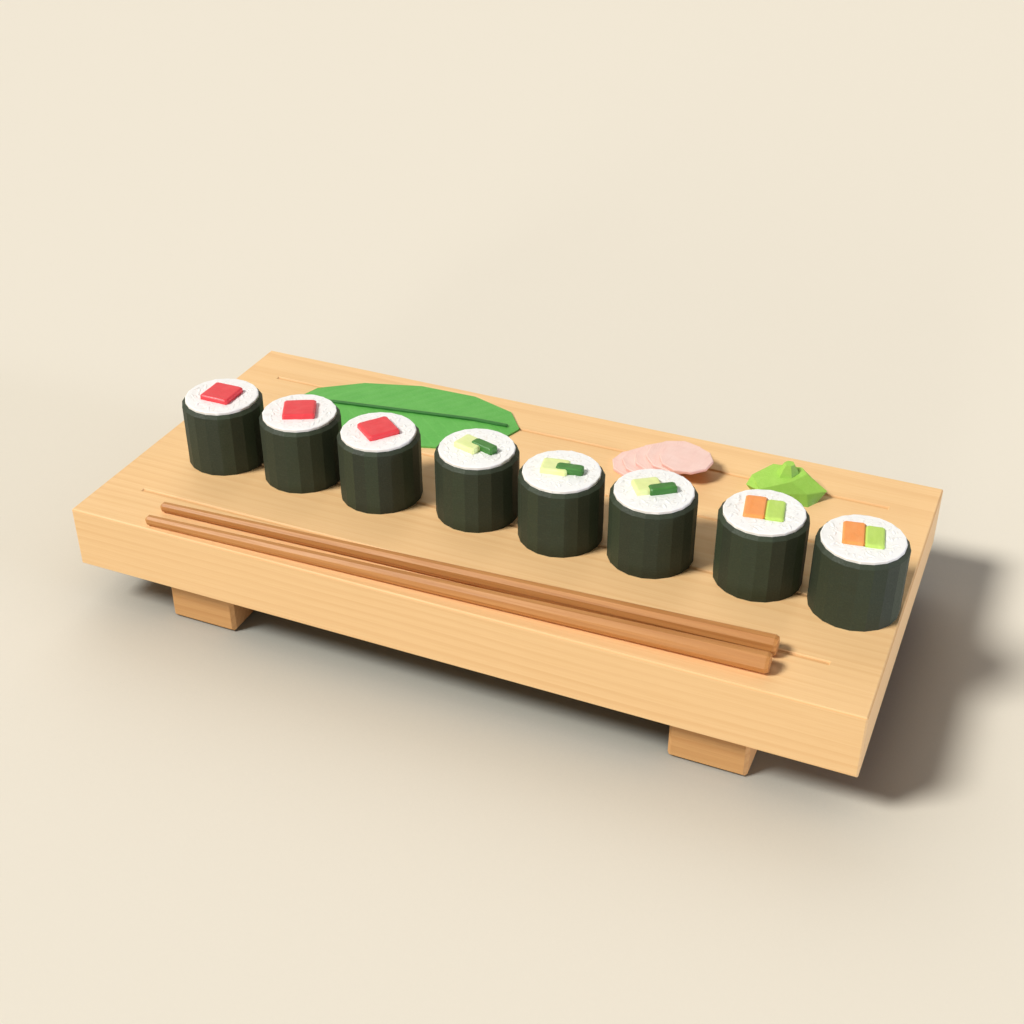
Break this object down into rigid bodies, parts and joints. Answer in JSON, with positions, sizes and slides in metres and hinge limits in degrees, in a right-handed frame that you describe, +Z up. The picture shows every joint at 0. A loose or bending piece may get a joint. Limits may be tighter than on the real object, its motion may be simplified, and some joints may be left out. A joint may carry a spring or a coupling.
{
  "type": "sushi geta board",
  "caption": "Wooden sushi geta: a plank on two low feet, served with maki rolls, a leaf, pickled ginger, wasabi and a pair of chopsticks, each of which lifts off.",
  "frame": {"origin": "middle of the board at the level of the feet's soles", "axes": "+X along the board to the right, +Y to the back, +Z up"},
  "size_m": [0.3, 0.144, 0.0729],
  "materials": {
    "board_wood": "satin",
    "foot_wood": "satin",
    "chopstick_wood": "satin",
    "nori": "matte",
    "rice": "satin",
    "tuna": "satin",
    "avocado_soft": "satin",
    "avocado_firm": "satin",
    "cucumber": "satin",
    "salmon": "satin",
    "leaf": "satin",
    "leaf_rib": "satin",
    "ginger": "satin",
    "wasabi": "matte"
  },
  "bodies": {
    "geta": {"board": "board_wood", "foot_left": "foot_wood", "foot_right": "foot_wood", "foot_dowels": "foot_wood"},
    "roll_1": {"nori_1": "nori", "rice_1": "rice", "tuna_1": "tuna"},
    "roll_2": {"nori_2": "nori", "rice_2": "rice", "tuna_2": "tuna"},
    "roll_3": {"nori_3": "nori", "rice_3": "rice", "tuna_3": "tuna"},
    "roll_4": {"nori_4": "nori", "rice_4": "rice", "avocado_4": "avocado_soft", "cucumber_4": "cucumber"},
    "roll_5": {"nori_5": "nori", "rice_5": "rice", "avocado_5": "avocado_soft", "cucumber_5": "cucumber"},
    "roll_6": {"nori_6": "nori", "rice_6": "rice", "avocado_6": "avocado_soft", "cucumber_6": "cucumber"},
    "roll_7": {"nori_7": "nori", "rice_7": "rice", "salmon_7": "salmon", "avocado_7": "avocado_firm"},
    "roll_8": {"nori_8": "nori", "rice_8": "rice", "salmon_8": "salmon", "avocado_8": "avocado_firm"},
    "leaf": {"leaf_blade": "leaf", "leaf_midrib": "leaf_rib"},
    "ginger": {"ginger_slice_1": "ginger", "ginger_slice_2": "ginger", "ginger_slice_3": "ginger", "ginger_slice_4": "ginger", "ginger_slice_5": "ginger"},
    "wasabi": {"wasabi": "wasabi"},
    "chopstick_front": {"chopstick_front": "chopstick_wood"},
    "chopstick_back": {"chopstick_back": "chopstick_wood"}
  },
  "joints": [
    {"name": "roll_1_lift", "type": "slide", "parent": "geta", "child": "roll_1", "axis": [0, 0, 1], "range_m": [0, 0.1]},
    {"name": "roll_2_lift", "type": "slide", "parent": "geta", "child": "roll_2", "axis": [0, 0, 1], "range_m": [0, 0.1]},
    {"name": "roll_3_lift", "type": "slide", "parent": "geta", "child": "roll_3", "axis": [0, 0, 1], "range_m": [0, 0.1]},
    {"name": "roll_4_lift", "type": "slide", "parent": "geta", "child": "roll_4", "axis": [0, 0, 1], "range_m": [0, 0.1]},
    {"name": "roll_5_lift", "type": "slide", "parent": "geta", "child": "roll_5", "axis": [0, 0, 1], "range_m": [0, 0.1]},
    {"name": "roll_6_lift", "type": "slide", "parent": "geta", "child": "roll_6", "axis": [0, 0, 1], "range_m": [0, 0.1]},
    {"name": "roll_7_lift", "type": "slide", "parent": "geta", "child": "roll_7", "axis": [0, 0, 1], "range_m": [0, 0.1]},
    {"name": "roll_8_lift", "type": "slide", "parent": "geta", "child": "roll_8", "axis": [0, 0, 1], "range_m": [0, 0.1]},
    {"name": "leaf_lift", "type": "slide", "parent": "geta", "child": "leaf", "axis": [0, 0, 1], "range_m": [0, 0.1]},
    {"name": "ginger_lift", "type": "slide", "parent": "geta", "child": "ginger", "axis": [0, 0, 1], "range_m": [0, 0.1]},
    {"name": "wasabi_lift", "type": "slide", "parent": "geta", "child": "wasabi", "axis": [0, 0, 1], "range_m": [0, 0.1]},
    {"name": "chopstick_front_lift", "type": "slide", "parent": "geta", "child": "chopstick_front", "axis": [0, 0, 1], "range_m": [0, 0.1]},
    {"name": "chopstick_back_lift", "type": "slide", "parent": "geta", "child": "chopstick_back", "axis": [0, 0, 1], "range_m": [0, 0.1]}
  ]
}
